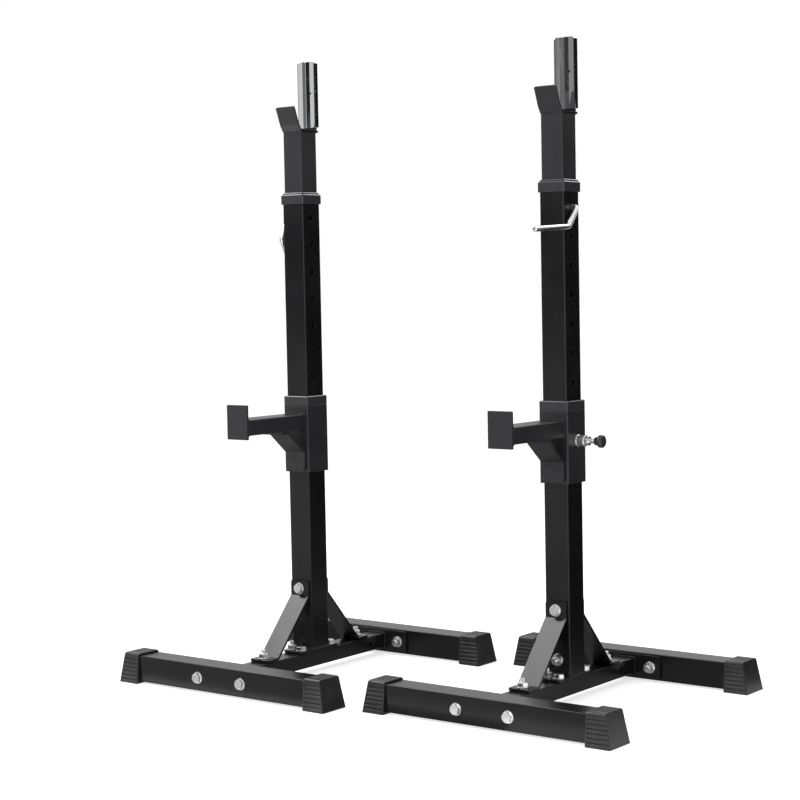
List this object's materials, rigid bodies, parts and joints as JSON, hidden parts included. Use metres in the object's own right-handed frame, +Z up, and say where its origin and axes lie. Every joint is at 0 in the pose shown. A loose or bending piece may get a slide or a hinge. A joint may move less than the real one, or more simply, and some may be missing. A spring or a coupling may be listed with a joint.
{
  "type": "squat stand pair",
  "caption": "Pair of free-standing squat stands: square-tube base on rubber feet, telescoping post with a bar cradle and chromed guard, sliding spotter arm.",
  "frame": {"origin": "on the floor, midway between the two stands", "axes": "+Z up along the posts, -Y towards the lifter, +X from the left stand to the right one"},
  "size_m": [1.0676, 0.5966, 1.188],
  "materials": {
    "painted_black": "glossy black powder coat",
    "zinc_plated": "bright zinc plate",
    "bright_chrome": "polished chrome",
    "black_rubber": "moulded, ribbed",
    "black_plastic": "moulded satin"
  },
  "bodies": {
    "frames": {"left_front_cross_tube": "painted_black", "left_rear_cross_tube": "painted_black", "left_front_brace": "painted_black", "left_rear_brace": "painted_black", "left_front_brace_bolt": "zinc_plated", "left_rear_brace_bolt": "zinc_plated", "left_front_foot_bolt": "zinc_plated", "left_rear_foot_bolt": "zinc_plated", "left_front_outer_foot": "black_rubber", "left_rear_outer_foot": "black_rubber", "left_front_inner_foot": "black_rubber", "left_rear_inner_foot": "black_rubber", "left_front_outer_cross_bolt": "zinc_plated", "left_rear_outer_cross_bolt": "zinc_plated", "left_front_inner_cross_bolt": "zinc_plated", "left_rear_inner_cross_bolt": "zinc_plated", "left_base_beam": "painted_black", "left_upright": "painted_black", "left_upper_collar": "black_plastic", "left_brace_through_bolt": "zinc_plated", "right_front_cross_tube": "painted_black", "right_rear_cross_tube": "painted_black", "right_front_brace": "painted_black", "right_rear_brace": "painted_black", "right_front_brace_bolt": "zinc_plated", "right_rear_brace_bolt": "zinc_plated", "right_front_foot_bolt": "zinc_plated", "right_rear_foot_bolt": "zinc_plated", "right_front_outer_foot": "black_rubber", "right_rear_outer_foot": "black_rubber", "right_front_inner_foot": "black_rubber", "right_rear_inner_foot": "black_rubber", "right_front_outer_cross_bolt": "zinc_plated", "right_rear_outer_cross_bolt": "zinc_plated", "right_front_inner_cross_bolt": "zinc_plated", "right_rear_inner_cross_bolt": "zinc_plated", "right_base_beam": "painted_black", "right_upright": "painted_black", "right_upper_collar": "black_plastic", "right_brace_through_bolt": "zinc_plated"},
    "left_post": {"left_inner_post": "painted_black", "left_back_guard": "bright_chrome"},
    "left_lock_pin": {"left_lock_pin": "zinc_plated"},
    "left_carriage": {"left_sleeve": "painted_black", "left_sleeve_liner": "black_plastic", "left_spotter_arm": "painted_black", "left_end_plate": "painted_black", "left_strut": "painted_black", "left_pop_pin_body": "zinc_plated"},
    "left_pop_pin": {"left_pop_pin_plunger": "black_plastic"},
    "right_post": {"right_inner_post": "painted_black", "right_back_guard": "bright_chrome"},
    "right_lock_pin": {"right_lock_pin": "zinc_plated"},
    "right_carriage": {"right_sleeve": "painted_black", "right_sleeve_liner": "black_plastic", "right_spotter_arm": "painted_black", "right_end_plate": "painted_black", "right_strut": "painted_black", "right_pop_pin_body": "zinc_plated"},
    "right_pop_pin": {"right_pop_pin_plunger": "black_plastic"}
  },
  "joints": [
    {"name": "left_post_slide", "type": "slide", "parent": "frames", "child": "left_post", "axis": [0, 0, 1], "range_m": [0, 0.4]},
    {"name": "left_lock_pin_slide", "type": "slide", "parent": "frames", "child": "left_lock_pin", "axis": [-1, 0, 0], "range_m": [-0.005, 0.06]},
    {"name": "left_carriage_slide", "type": "slide", "parent": "frames", "child": "left_carriage", "axis": [0, 0, 1], "range_m": [0, 0.2]},
    {"name": "left_pop_pin_slide", "type": "slide", "parent": "left_carriage", "child": "left_pop_pin", "axis": [-1, 0, 0], "range_m": [0, 0.012], "stiffness_N_per_m": 600, "springref_m": -0.01},
    {"name": "right_post_slide", "type": "slide", "parent": "frames", "child": "right_post", "axis": [0, 0, 1], "range_m": [0, 0.4]},
    {"name": "right_lock_pin_slide", "type": "slide", "parent": "frames", "child": "right_lock_pin", "axis": [1, 0, 0], "range_m": [-0.005, 0.06]},
    {"name": "right_carriage_slide", "type": "slide", "parent": "frames", "child": "right_carriage", "axis": [0, 0, 1], "range_m": [0, 0.3]},
    {"name": "right_pop_pin_slide", "type": "slide", "parent": "right_carriage", "child": "right_pop_pin", "axis": [1, 0, 0], "range_m": [0, 0.012], "stiffness_N_per_m": 600, "springref_m": -0.01}
  ]
}
